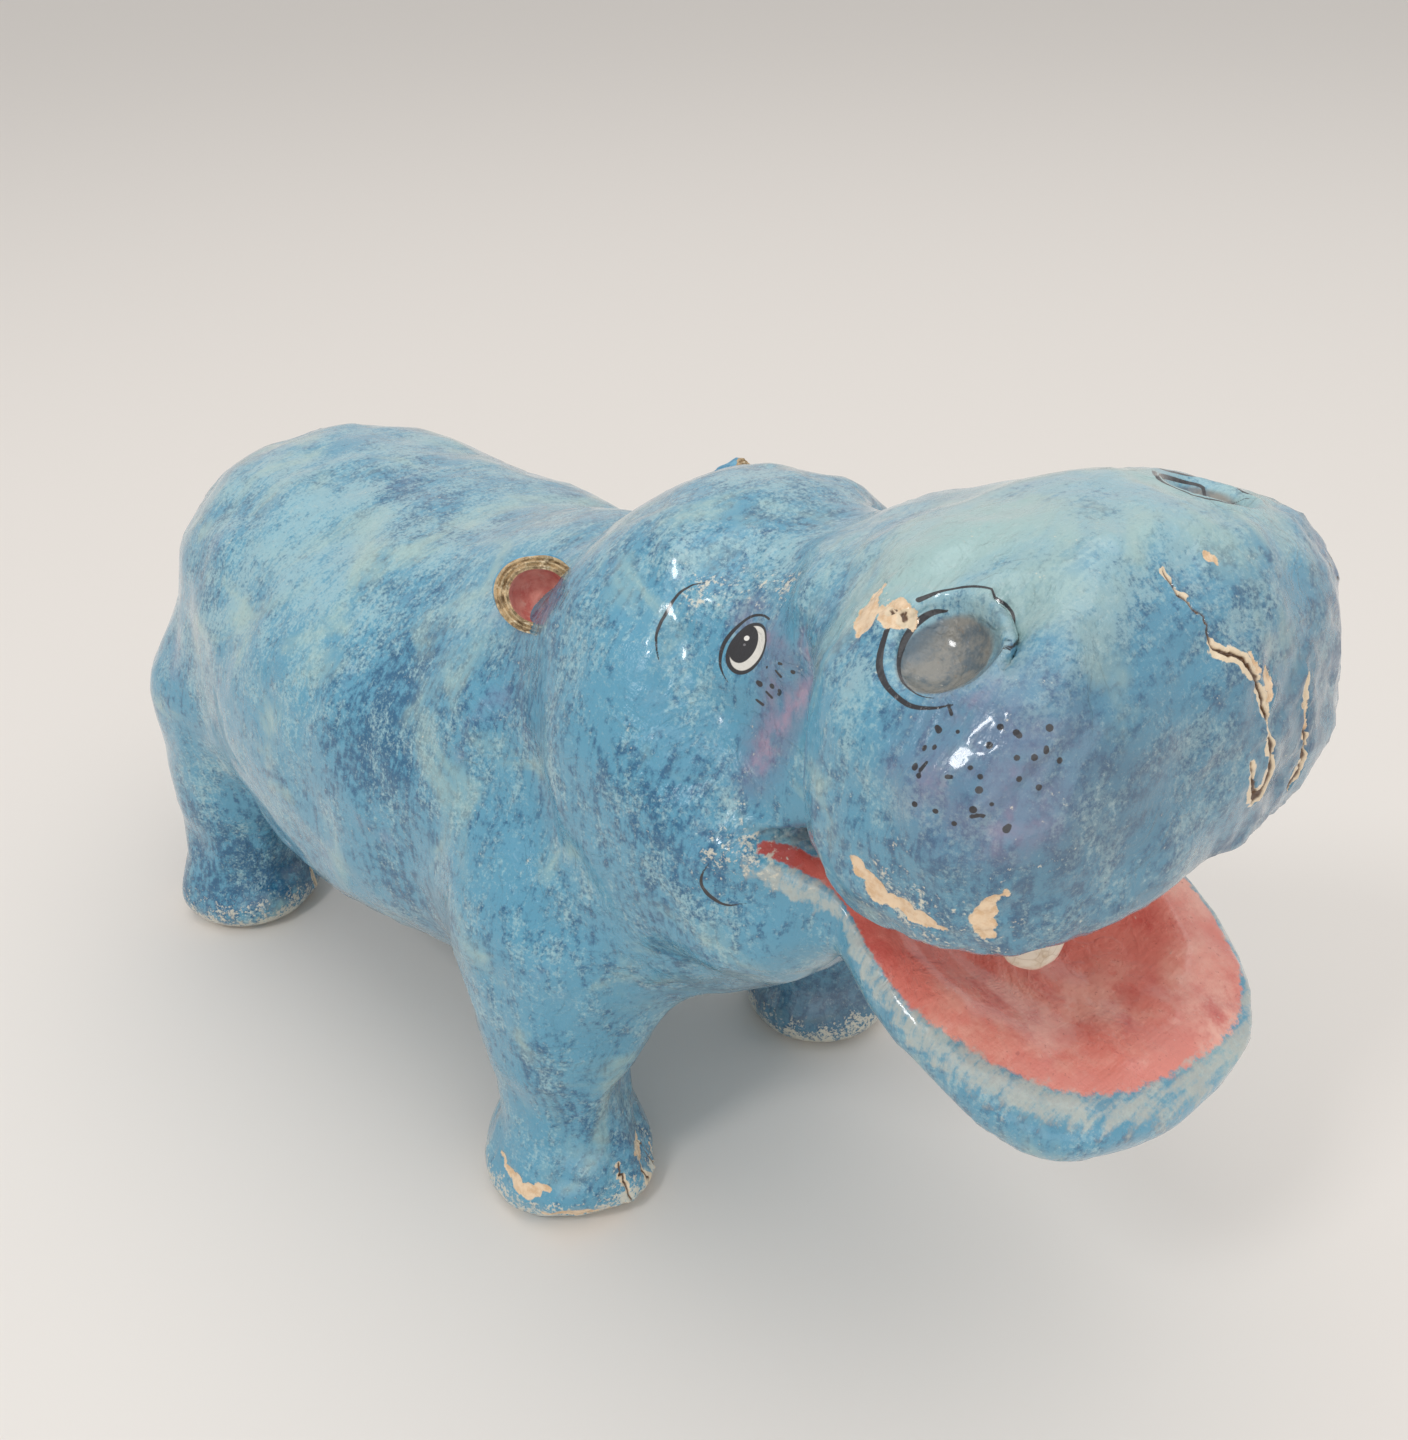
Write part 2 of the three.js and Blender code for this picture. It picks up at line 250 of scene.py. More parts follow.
ring_back_knots = [(-12.2, -4.5, 0.6), (-11.2, -8, 0.8), (-9.4, -12, 0.95), (-6.6, -15.8, 0.95),
                   (-2.8, -18.8, 0.85), (1.3, -20.4, 0.7), (7.3, -21.3, 0.65), (12.6, -19.8, 0.4),
                   (16.5, -17.2, 0.15)]
rim_knots = [(-3.2, 5.8, 0.3), (-5.4, 4, 0.7), (-6.8, 1.4, 0.9), (-7.3, -2.2, 0.95), (-6.2, -7, 0.85),
             (-3, -12, 0.6), (1.6, -15.6, 0.4), (6.2, -17, 0.3), (10.5, -16.8, 0.15)]
brow_knots = [(-42, -54, 272, 0.15), (-46, -50, 270.5, 0.4), (-50, -48.5, 268.5, 0.55),
              (-54, -48.5, 265, 0.6), (-57.5, -49, 262, 0.55), (-61, -50.5, 258, 0.4), (-64, -55, 252, 0.15)]
dimple_knots = [(-72.5, -88, 198, 0.1), (-74, -86.5, 194, 0.35), (-74.5, -86.5, 190, 0.6),
                (-74, -88, 186.5, 0.75), (-72.5, -91, 184.5, 0.6), (-70.5, -95, 184, 0.3),
                (-68, -99, 185, 0.1)]
brush_lift, finest_hair = 6, 0.05
other_eye_shift = (0, 0.6, -0.5)


def down_onto_skin(places, along, rounds=40, share=0.7):
    """Drops places onto the skin along one direction, a share of what is left each time."""
    for _ in range(rounds):
        places = places - along[:, None] * shell_form(places) * share
    return places


def patch_axes(facing):
    """The directions forwards along a patch of skin, up along it, and out of it."""
    out = facing / np.linalg.norm(facing)
    forwards = np.array([0, -1, 0]) + out * out[1]
    forwards /= np.linalg.norm(forwards)
    return np.array([forwards, np.cross(out, forwards), out])


def smooth_line(knots, per_span=6):
    """Closely spaced knots on a smooth line through the given ones."""
    knots = np.array(knots, float)
    knots = np.concatenate([2 * knots[:1] - knots[1:2], knots, 2 * knots[-1:] - knots[-2:-1]])
    line = []
    for a, b, c, d in zip(knots[:-3], knots[1:-2], knots[2:-1], knots[3:]):
        for t in np.arange(per_span) / per_span:
            bend = (2 * a - 5 * b + 4 * c - d) * t**2 + (3 * b - a - 3 * c + d) * t**3
            line.append(0.5 * (2 * b + (c - a) * t + bend))
    return np.array(line + [knots[-2]])


def drawn(at, facing, knots):
    """A brush line on a patch of skin, from how far forwards and up it each knot lies."""
    forwards, up, out = patch_axes(facing)
    line = smooth_line(knots)
    places = at[:, None] + np.outer(forwards, line[:, 0]) + np.outer(up, line[:, 1])
    return down_onto_skin(places + out[:, None] * brush_lift, out), np.maximum(line[:, 2], finest_hair)


def drawn_between(knots):
    """A brush line through places on the skin."""
    line = smooth_line(knots)
    return onto(shell_form, line[:, :3].T), np.maximum(line[:, 3], finest_hair)


def other_side(line, shift=(0, 0, 0)):
    """The same line on the animal's other side, drawn a little apart from its mirror place."""
    places, half = line
    moved = places * [[-1], [1], [1]] + np.array(shift)[:, None]
    return onto(shell_form, moved), half


def spots(at, facing, rows, per_row, reach, seed, stray=0.12, round_off=1.45, slant=0.25):
    """Small dabs of the brush in uneven rows, some round and some pulled into a short dash."""
    half_widths, dashes, how_often = (0.4, 0.95), [0.1, 0.4, 1.1], [0.7, 0.2, 0.1]
    rng = np.random.default_rng(seed)
    found = []
    for row in range(rows):
        for n in range(per_row):
            u = (n - (per_row - 1) / 2) / (per_row - 1) * 2 + rng.normal(0, stray)
            v = (row - (rows - 1) / 2) / (rows - 1) * 2 + rng.normal(0, stray)
            if u * u + v * v > round_off:
                continue
            u, v = u * reach[0] + slant * v * reach[1], v * reach[1]
            half, dash = rng.uniform(*half_widths), rng.choice(dashes, p=how_often)
            turn = rng.uniform(0, math.pi)
            du, dv = dash * math.cos(turn), dash * math.sin(turn)
            half = min(half, 0.5) if dash > 1 else half
            found.append(drawn(at, facing, [(u - du, v - dv, half), (u + du, v + dv, half * 0.8)]))
    return found


right_lines = [drawn(eye_at, eye_facing, lid_knots)]
right_lines += [drawn_between(brow_knots), drawn_between(dimple_knots)]
ink_lines = right_lines + [other_side(line, other_eye_shift) for line in right_lines]
for knots in (ring_knots, ring_back_knots, rim_knots):
    ink_lines.append(drawn(hollow_at, hollow_facing, knots))
    ink_lines.append(other_side(drawn(far_hollow_at, far_hollow_facing, knots)))
right_spots = spots(whiskers_at, whiskers_facing, rows=7, per_row=6, reach=(15, 15), seed=4)
right_spots += spots(cheek_at, cheek_facing, rows=5, per_row=3, reach=(3.5, 8), seed=9)
ink_lines += right_spots + [other_side(line) for line in right_spots]

# ---------------- the breaks
# Paint and the top layers of paper have flaked off in places down to cream paper, mostly on the
# nose and the feet, and the nose is cracked between the nostrils down to its brown core.
flake_stray, crack_stray, narrowest, widest = 0.55, 0.4, 0.55, 1.5


def ragged(line, stray, seed):
    """The same line, broken: it strays from side to side and is now wide, now narrow."""
    places, half = line
    rng = np.random.default_rng(seed)
    strayed = onto(shell_form, places + rng.normal(0, stray, places.shape))
    return strayed, half * rng.uniform(narrowest, widest, len(half))


flakes = [
    drawn(hollow_at, hollow_facing, [(-24, 5.6, 1.4), (-23, 2, 2.2), (-21.6, -2, 2.7), (-20, -5, 2.8),
                                     (-17.8, -8.8, 1.6)]),
    drawn(hollow_at, hollow_facing, [(-20.5, -2.6, 1), (-16, -2.2, 1.1), (-12.5, -2.8, 3.2), (-10, -2.6, 3)]),
    drawn_between([(-89, -163, 243, 1.6), (-88, -168, 237, 2.6), (-88, -174, 236, 1.7), (-86, -181, 234, 3),
                   (-83, -187, 233, 1.2)]),
    drawn_between([(-79, -196, 234, 2), (-80, -197, 239, 2.2), (-81, -198, 244, 1.5),
                   (-78, -200, 250, 0.7)]),
    drawn_between([(5, -194, 310, 1), (6.5, -196, 308, 0.6)]),
    drawn_between([(7, -212, 284, 0.9), (8, -213, 280, 1.6), (7.5, -215, 275, 0.8)]),
    drawn_between([(30, -215, 268, 0.6), (31, -215, 262, 1.3), (31, -215, 255, 0.7), (33, -214, 246, 1)]),
    drawn_between([(0, -211, 290, 0.5), (2, -212, 286, 0.9)]),
    drawn_between([(-104, 6, 26, 0.8), (-106, -2, 22, 1.6), (-104, -12, 19, 2.4), (-98, -20, 21, 1.4)]),
    drawn_between([(-99, -19, 10, 2), (-92, -27, 9, 2.6), (-84, -31, 7, 2), (-74, -33, 7, 1)]),
    drawn_between([(-64, -28, 22, 0.8), (-60, -27, 19, 2), (-55, -24, 24, 1)]),
    drawn_between([(-52, -22, 14, 0.8), (-54, -24, 9, 1.5), (-60, -29, 6, 0.9)]),
]
cracks = [
    drawn_between([(-12, -193, 311, 0.25), (-12, -200, 305, 0.35), (-9, -204, 300, 0.3),
                   (-10, -208, 294, 0.35), (-3, -210, 289, 0.45), (2, -213, 282, 0.55),
                   (5, -215, 274, 0.6), (8, -216, 263, 0.7), (9, -217, 252, 0.8), (6, -217, 248, 1.3),
                   (3, -217, 251, 0.9), (-2, -216, 261, 0.4)]),
    drawn_between([(31, -214, 274, 0.25), (30, -215, 263, 0.35), (34, -215, 245, 0.6), (32, -215, 239, 1.5)]),
    drawn_between([(-73, -29, 23, 0.25), (-73, -32, 16, 0.35), (-72, -31, 6, 0.3)]),
    drawn_between([(-62, -27, 22, 0.2), (-63, -30, 14, 0.3), (-62, -29, 5, 0.3)]),
    drawn_between([(-57, -24, 20, 0.2), (-56, -26, 13, 0.3), (-56, -25, 6, 0.2)]),
    drawn_between([(-56, 242, 22, 0.2), (-57, 240, 12, 0.3), (-58, 241, 3, 0.4)]),
    drawn(hollow_at, hollow_facing, [(-14.6, -2.1, 0.5), (-13.4, -2.3, 0.3)]),
    drawn(hollow_at, hollow_facing, [(-11.4, -1.6, 0.7), (-10, -1.9, 0.5)]),
]
flakes = [ragged(line, flake_stray, n) for n, line in enumerate(flakes)]
cracks = [ragged(line, crack_stray, n) for n, line in enumerate(cracks)]


def fade(value, start, end):
    """Goes softly from nothing at the start to all of it at the end."""
    t = np.clip((value - start) / (end - start), 0, 1)
    return t * t * (3 - 2 * t)


def far_from_line(p, line, reach=9, beyond=99.0):
    """How far each point is outside a line's painted edge, and negative within it."""
    places, half = line
    away = np.full(p.shape[1], beyond)
    near = np.all((p > places.min(1)[:, None] - reach) & (p < places.max(1)[:, None] + reach), axis=0)
    q, best = p[:, near], away[near]
    for n in range(places.shape[1] - 1):
        a, span = places[:, n], places[:, n + 1] - places[:, n]
        t = np.clip(span @ (q - a[:, None]) / max(span @ span, 1e-6), 0, 1)
        gap = np.sqrt(((q - a[:, None] - np.outer(span, np.ones(q.shape[1])) * t) ** 2).sum(0))
        best = np.minimum(best, gap - half[n] - t * (half[n + 1] - half[n]))
    away[near] = best
    return away


def nearest_edge(p, lines):
    return np.min([far_from_line(p, line) for line in lines], axis=0)


# New triangles for a face with that many split edges, from its corners 0 to 2 and its edges'
# middles 3 to 5, each of which follows its corner.
ways_to_split = [[(0, 1, 2)], [(0, 3, 2), (3, 1, 2)], [(3, 1, 4), (0, 3, 4), (0, 4, 2)],
                 [(0, 3, 5), (3, 1, 4), (5, 4, 2), (3, 4, 5)]]


def split_long_edges(points, faces, fine, rounds=5, slack=1.45):
    """Splits every triangle edge longer than fine() asks for there, and puts new points on the skin."""
    for _ in range(rounds):
        count = points.shape[1]
        ends = np.sort(faces[:, [[0, 1], [1, 2], [2, 0]]].reshape(-1, 2), axis=1)
        edges, back = np.unique(ends[:, 0] * count + ends[:, 1], return_inverse=True)
        a, b = edges // count, edges % count
        middle = (points[:, a] + points[:, b]) / 2
        length = np.sqrt(((points[:, a] - points[:, b]) ** 2).sum(0))
        long = np.flatnonzero(length > slack * fine(middle))
        if not len(long):
            break
        number = np.full(len(edges), -1)
        number[long] = count + np.arange(len(long))
        points = np.hstack([points, onto(shell_form, middle[:, long], 2)])
        middles = number[back].reshape(-1, 3)
        cuts = (middles >= 0).sum(1)
        turn = np.where(cuts == 1, np.argmax(middles >= 0, 1), 0)
        turn = np.where(cuts == 2, np.argmin(middles, 1) + 1, turn)
        order = (turn[:, None] + np.arange(3)) % 3
        six = np.hstack([np.take_along_axis(faces, order, 1), np.take_along_axis(middles, order, 1)])
        faces = [six[cuts == n][:, way] for n, ways in enumerate(ways_to_split) for way in ways]
        faces = np.concatenate(faces)
    return points, faces


def edge_wanted(p):
    """Small triangles at the brush lines and breaks, and along the lip where two paints meet."""
    at_marks, at_lip, elsewhere = 0.55, 1.6, 9
    from_mark = np.abs(nearest_edge(p, ink_lines + flakes + cracks))
    from_lip = np.abs(closed_form(p) + 2)
    near_marks = at_marks + 0.55 * np.maximum(from_mark - 0.7, 0)
    near_lip = at_lip + 0.5 * np.maximum(from_lip - 3, 0)
    return np.minimum(near_marks, np.where(mouth_wedge(p) < 4, near_lip, elsewhere))


skin, skin_faces = split_long_edges(skin, skin_faces, edge_wanted)
ink = nearest_edge(skin, ink_lines)
bare = nearest_edge(skin, flakes)
split = nearest_edge(skin, cracks)
on_right = skin.copy()
on_right[0] = -np.abs(on_right[0])
hollow_middle, hollow_size, hollow_thick, nowhere_near = (4.0, -4.2), (10.6, 12.4), 14, 9
near_hollow = patch_axes(hollow_facing) @ (skin - hollow_at[:, None])
far_hollow = patch_axes(far_hollow_facing) @ (on_right - far_hollow_at[:, None])
hollow_place = np.where(skin[0] < 0, near_hollow, far_hollow)
hollow_far = np.sqrt(sum(((hollow_place[n] - hollow_middle[n]) / hollow_size[n]) ** 2 for n in (0, 1)))
hollow_far[np.abs(hollow_place[2]) > hollow_thick] = nowhere_near
corner_line = smooth_line([(-59.5, -98.5, 200.5, 5.2), (-56, -103, 198, 6), (-52, -109, 195.5, 7),
                           (-47, -117, 192.5, 8), (-46, -127, 188, 9)])
corner_far = far_from_line(on_right, (corner_line[:, :3].T, corner_line[:, 3]))

# The rose red fills the mouth. On the lower lip it stops short of the edge, further at the front
# and there most on the animal's right. At the mouth's corners it ends in a round tip.
side_band, cut_band, front_cut_band = 1.5, 2.9, 1.7
front_band, front_slant, front_least, front_most = 3.8, 0.08, 0.6, 6.2
corner_ahead, corner_side = 116, 36
ahead = -skin[1]
at_the_cut = fade(-mouth_wedge(skin), -2.5, -0.5)
lip_band = side_band - at_the_cut * (cut_band - front_cut_band * fade(ahead, 130, 170))
at_front = np.clip(front_band - front_slant * skin[0], front_least, front_most)
lip_band += at_front * fade(ahead, 150, 200)
lining = closed_form(skin) + lip_band
at_corner = (ahead < corner_ahead) & (on_right[0] < -corner_side)
lining = np.where(at_corner, np.maximum(lining, corner_far), lining)
lining[hollow_far < 3] = nowhere_near

# ---------------- the hand work
# The paper dried unevenly: flat facets where it was pressed with the palm, edges of strips, dents
# and the hollows and ridges of the head. All of it is under a few millimetres.
facet_count, facet_reach, facet_depth, facet_most = 380, (24, 50), (0.3, 2.3), 2
strip_count, strip_thickness, strip_long, strip_wide = 320, 0.42, (22, 40), (9, 15)
strip_torn, strip_bevel, strip_window = 1.6, 1.2, 50
uneven = [(1.3, 44, 1), (1.1, 21, 2), (0.42, 10, 3)]
humps = [((-91, 3, 161), 17, 3.4), ((-88, -27, 145), 14, -3.2), ((91, 8, 158), 19, 1.6),
         ((86, -24, 140), 15, -2)]
pinches = [([(-40, -39, 277, 1), (-18, -54, 282, 1), (-22, -90, 291, 1)], 7, 1.8),
           ([(-49, -54, 268, 1), (-39, -69, 271, 1), (-45, -98, 282, 1)], 6, 1.8),
           ([(-57, -150, 307, 1), (-44, -174, 313, 1), (-21, -182, 316, 1)], 6, 1.2)]
flake_depth, crack_depth, crack_lip, crack_lip_wide = 0.6, 1.6, 0.3, 0.9


def lumps(p, size, seed, across=32, start=57.3):
    """Soft seeded unevenness between about -1 and 1, with bumps about one size across."""
    table = np.random.default_rng(seed).uniform(-1, 1, (across, across, across))
    q = p / size + start
    cell = np.floor(q).astype(int)
    t = q - cell
    t = t * t * (3 - 2 * t)
    total = np.zeros(p.shape[1])
    for i in (0, 1):
        for j in (0, 1):
            for k in (0, 1):
                share = (t[0] if i else 1 - t[0]) * (t[1] if j else 1 - t[1]) * (t[2] if k else 1 - t[2])
                total += share * table[tuple((cell + np.array([[i], [j], [k]])) % across)]
    return total


def dab(p, at, radius, height):
    """A soft round patch, or a soft round hump when it is raised."""
    away = np.sqrt(((p - np.array(at, float)[:, None]) ** 2).sum(0)) / radius
    return height * np.exp(-away * away * 1.5)


def ridge(p, knots, radius, height):
    """A soft long patch along a line on the skin, or a ridge when it is raised."""
    return height * np.exp(-(np.maximum(far_from_line(p, drawn_between(knots)), 0) / radius) ** 2)


outwards = slope_of(shell_form, skin)[1]
outwards /= np.sqrt((outwards**2).sum(0))
worked = skin.copy()
rng = np.random.default_rng(12)
for n in rng.choice(len(lining), facet_count):
    away = np.sqrt(((skin - skin[:, n : n + 1]) ** 2).sum(0)) / rng.uniform(*facet_reach)
    near = away < 1
    facing = outwards[:, n] + rng.normal(0, 0.05, 3)
    facing /= np.linalg.norm(facing)
    height = facing @ (worked[:, near] - skin[:, n : n + 1]) + rng.uniform(*facet_depth)
    push = 0.5 * (height + np.sqrt(height**2 + 0.12)) * (1 - away[near] ** 2) ** 2
    push = facet_most * np.tanh(push / facet_most)
    push *= np.clip(facing @ outwards[:, near] * 2 - 0.6, 0, 1)
    worked[:, near] -= outwards[:, near] * push
raised = sum(height * lumps(skin, size, seed) for height, size, seed in uneven)
for n in rng.choice(len(lining), strip_count):
    out = outwards[:, n]
    across = np.cross(out, rng.normal(0, 1, 3))
    across /= np.linalg.norm(across)
    away = skin - skin[:, n : n + 1]
    near = (away**2).sum(0) < strip_window**2
    away = away[:, near]
    torn = strip_torn * lumps(skin[:, near], 6, 5)
    long, wide = rng.uniform(*strip_long), rng.uniform(*strip_wide)
    edge = np.maximum(np.abs(across @ away) - wide, np.abs(np.cross(out, across) @ away) - long) + torn
    same_side = out @ outwards[:, near] > 0.3
    raised[near] += strip_thickness * fade(-edge, -strip_bevel, strip_bevel) * same_side
raised += sum(dab(skin, *hump) for hump in humps)
raised += sum(ridge(skin, *pinch) for pinch in pinches)
eye_far = np.sqrt(((on_right - eye_at[:, None]) ** 2).sum(0))
calm = 0.3 + 0.7 * fade(np.minimum(hollow_far * 8, eye_far), 10, 22)
standing = fade(skin[2], 0, 9) * calm
worked = skin + (worked - skin + outwards * raised) * standing
worked -= outwards * flake_depth * fade(-bare, -0.35, 0.35) * fade(skin[2], 0, 3)
opened = crack_depth * fade(-split, -0.4, 0.6)
worked -= outwards * (opened - crack_lip * np.exp(-(((split - crack_lip_wide) / crack_lip_wide) ** 2)))


def set_in_frame(name, points, faces):
    """Makes a smooth-shaded object from points in millimetres from the middle of the front feet."""
    mesh = bpy.data.meshes.new(name)
    placed = (points.T - [0, front_feet_to_origin, 0]) * 0.001
    mesh.from_pydata(placed.tolist(), [], list(faces))
    mesh.polygons.foreach_set("use_smooth", np.ones(len(mesh.polygons), bool))
    piece = bpy.data.objects.new(name, mesh)
    bpy.context.scene.collection.objects.link(piece)
    return piece


def note(piece, name, values):
    """Keeps a value, or a place, at every point of a piece for its paint to read."""
    kind, field = ("FLOAT", "value") if values.ndim == 1 else ("FLOAT_VECTOR", "vector")
    layer = piece.data.attributes.new(name, kind, "POINT")
    layer.data.foreach_set(field, np.ascontiguousarray(values.T, np.float32).ravel())


shell = set_in_frame("papier_mache_shell", worked, skin_faces.tolist())
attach(shell, "root")
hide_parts("body")

# Where each colour lies thicker: the blush and pink of the cheek, the worn, pale, deep and grey parts.
# Some of it is painted light and shade: lighter tops, a highlight along the brow, and shade under the
# muzzle and on the far front foot.
cheek_line = [(-44, -76, 268, 6), (-53, -94, 256, 8), (-57, -95, 240, 7), (-60, -93, 224, 4)]
pink_line = [(-47, -104, 272, 0.5), (-55, -105, 262, 1), (-56, -98, 247, 1.5), (-58, -92, 228, 1)]
# Along the brow the pale worn colour is also a painted highlight of the varnish.
brow_wear_and_sheen_line = [(-47, -54, 270, 1), (-38, -66, 274, 1), (-36, -80, 279, 1)]
whisker_patch, eye_patch, off_the_eye = (30, 26, 26), 16, 40
pale_patches = [((-45, -150, 312), 60, 1), ((30, -150, 312), 60, 0.8), ((-70, 180, 215), 60, 0.8),
                ((-75, 250, 170), 55, 0.5)]
deep_patches = [((-82, 71, 199), 34, 1), ((-63, 79, 219), 26, 0.8), ((-95, 73, 173), 30, 0.9),
                ((-35, -80, 282), 18, 0.7)]
# Painted shade: darker grey under the muzzle above the teeth, and on the far front foot under the head.
shade_patches = [((-30, -190, 212), 55, 1.1), ((73, -5, 12), 46, 1.3)]
worn_patches = [((-70, -100, 200), 18, 0.7), ((-84, -180, 232), 26, 0.5)]

eye_place = patch_axes(eye_facing) @ (on_right - eye_at[:, None])
eye_place[2] = 0
eye_place[:, eye_far > eye_patch] = off_the_eye
whisker_away = (on_right - whiskers_at[:, None]) / np.array(whisker_patch)[:, None]
whisker_far = np.sqrt((whisker_away**2).sum(0))
cheek_far = far_from_line(on_right, drawn_between(cheek_line))
pink_far = far_from_line(on_right, drawn_between(pink_line))
blush = np.maximum(fade(-whisker_far, -1.25, -0.35), fade(-cheek_far, -7, 3))
lower_lip_only = fade(-skin[2], -204, -196) * (mouth_wedge(skin) < 8)
worn_feet = 0.9 * fade(-skin[2], -30, -2)
# Worn paint on the feet and about the mouth, and a painted highlight along the brow.
wear_and_sheen = [dab(skin, *patch) for patch in worn_patches]
wear_and_sheen = np.max(wear_and_sheen + [worn_feet, ridge(skin, brow_wear_and_sheen_line, 8, 0.42)], axis=0)
# Painted light: every face that looks upwards is made paler, besides the paler patches of paint.
pale_and_lit_tops = sum(dab(skin, *patch) for patch in pale_patches) + 0.55 * fade(outwards[2], 0.35, 1)
deep_hind_feet = 0.9 * fade(-skin[2], -70, -20) * fade(skin[1], 180, 230)
# Greyer paint on the front of the muzzle, together with the painted shade patches.
grey_and_shade = dab(skin, (-55, -200, 270), 48, 0.8) + dab(skin, (20, -205, 262), 50, 0.7)
grey_and_shade = np.max([grey_and_shade] + [dab(skin, *patch) for patch in shade_patches], axis=0)
paint_reads = dict(ink=ink, bare=bare, split=split, lining=lining, blush=blush, pale_and_lit_tops=pale_and_lit_tops, grey_and_shade=grey_and_shade)
paint_reads["deep"] = sum(dab(skin, *patch) for patch in deep_patches) + deep_hind_feet
paint_reads["pink"] = fade(-pink_far, -5, 2)
paint_reads["wear_and_sheen"] = np.clip(wear_and_sheen, 0, 1)
paint_reads["hollow"] = hollow_far
paint_reads["hollow_front"] = hollow_place[0]
paint_reads["eye_place"] = eye_place
paint_reads["lip_wear"] = fade(-np.abs(lining - 2), -9, 0) * lower_lip_only
paint_reads["into_mouth"] = fade(-ahead, -165, -105)
for name, values in paint_reads.items():
    note(shell, name, values)


class Paint:
    """A material's nodes, wired in the order that the paint goes on."""

    def __init__(self, name):
        self.material = bpy.data.materials.new(name)
        self.material.use_nodes = True
        self.tree = self.material.node_tree
        self.shader = self.tree.nodes["Principled BSDF"]

    def node(self, kind, **settings):
        made = self.tree.nodes.new("ShaderNode" + kind)
        for name, value in settings.items():
            setattr(made, name, value)
        return made

    def wire(self, value, socket):
        """Joins a pattern to a socket, or sets the socket to a plain value."""
        if isinstance(value, bpy.types.NodeSocket):
            self.tree.links.new(value, socket)
        else:
            socket.default_value = value

    def read(self, name, vector=False):
        made = self.node("Attribute", attribute_name=name)
        return made.outputs["Vector" if vector else "Fac"]

    def maths(self, operation, a, b=0.0):
        made = self.node("Math", operation=operation)
        self.wire(a, made.inputs[0])
        self.wire(b, made.inputs[1])
        return made.outputs[0]

    def sum_of(self, *parts):
        """Adds patterns up, each by its own weight, and from its own middle where one is given."""
        total = 0.0
        for pattern, weight, *middle in parts:
            if middle:
                pattern = self.maths("SUBTRACT", pattern, middle[0])
            total = self.maths("ADD", self.maths("MULTIPLY", pattern, weight), total)
        return total

    def times(self, pattern, share):
        return self.maths("MULTIPLY", pattern, share)

    def stretched(self, scale, turn=(0, 0, 0)):
        place = self.node("TexCoord").outputs["Object"]
        made = self.node("Mapping")
        made.inputs["Scale"].default_value = scale
        made.inputs["Rotation"].default_value = turn
        self.wire(place, made.inputs["Vector"])
        return made.outputs[0]

    def noise(self, scale, detail=3.0, rough=0.5, vector=None, bend=0.0):
        made = self.node("TexNoise")
        self.wire(vector or self.stretched((1, 1, 1)), made.inputs["Vector"])
        settings = {"Scale": scale, "Detail": detail, "Roughness": rough, "Distortion": bend}
        for name, value in settings.items():
            made.inputs[name].default_value = value
        return made.outputs["Fac"]

    def between(self, value, low, high, bottom=0.0, top=1.0):
        made = self.node("MapRange", interpolation_type="SMOOTHSTEP")
        settings = {"Value": value, "From Min": low, "From Max": high, "To Min": bottom, "To Max": top}
        for name, amount in settings.items():
            self.wire(amount, made.inputs[name])
        return made.outputs["Result"]

    def over(self, under, top, share):
        """Lays one colour over another by a share."""
        made = self.node("Mix", data_type="RGBA")
        self.wire(share, made.inputs["Factor"])
        self.wire(under, made.inputs[6])
        self.wire(top, made.inputs[7])
        return made.outputs[2]

    def oval(self, place, at, size, turn=0.0):
        """How far a place is from an oval's middle, 1 at its edge."""
        made = self.node("Mapping", vector_type="TEXTURE")
        made.inputs["Location"].default_value = (at[0], at[1], 0)
        made.inputs["Rotation"].default_value = (0, 0, math.radians(turn))
        made.inputs["Scale"].default_value = (size[0], size[1], 1)
        self.wire(place, made.inputs["Vector"])
        length = self.node("VectorMath", operation="LENGTH")
        self.wire(made.outputs[0], length.inputs[0])
        return length.outputs["Value"]

    def finish(self, finish):
        """Sets how the surface takes the light, by the shader's own names."""
        for name, value in finish.items():
            self.wire(value, self.shader.inputs[name])

    def bump(self, height, deep, strength):
        made = self.node("Bump")
        made.inputs["Distance"].default_value = deep
        made.inputs["Strength"].default_value = strength
        self.wire(height, made.inputs["Height"])
        return made.outputs["Normal"]


def tint(red, green, blue):
    """A colour as it is mixed, in steps of 0 to 255, turned into light."""
    return tuple(((c / 255 + 0.055) / 1.055) ** 2.4 for c in (red, green, blue)) + (1,)


# The coats in the order that they were brushed and sponged on, each over the ones before. Among them
# lie painted light and shade: paler tops, a highlight on the brow, shade under the muzzle, in the
# nostril dishes and deep in the mouth.
mid_blue, deep_blue, pale_blue = tint(84, 151, 179), tint(14, 91, 129), tint(148, 190, 200)
sea_green, dull_shade_blue, dry_specks = tint(170, 196, 186), tint(66, 88, 110), tint(180, 200, 198)
lilac, blush_purple, blush_rose = tint(132, 132, 165), tint(104, 112, 142), tint(146, 122, 146)
pink, hollow_grey, hollow_dark = tint(190, 142, 164), tint(132, 130, 123), tint(84, 98, 106)
hollow_brown, hollow_shade_blue = tint(128, 112, 94), tint(84, 108, 124)
rose, pale_rose, deep_rose = tint(226, 138, 124), tint(240, 182, 164), tint(206, 98, 90)
rose_specks, mouth_shade_red, lip_scuff = tint(168, 84, 78), tint(186, 80, 72), tint(188, 192, 182)
worn_white_and_sheen, black_ink, eye_line = tint(214, 208, 190), tint(22, 22, 30), tint(20, 20, 27)
eye_white, pupil_black = tint(222, 218, 210), tint(18, 16, 24)
eye_gleam, eye_glint = tint(235, 232, 226), tint(110, 108, 112)
cream_paper, tan_paper = tint(232, 205, 172), tint(214, 178, 138)
torn_cream, core_brown = tint(224, 204, 174), tint(96, 66, 42)

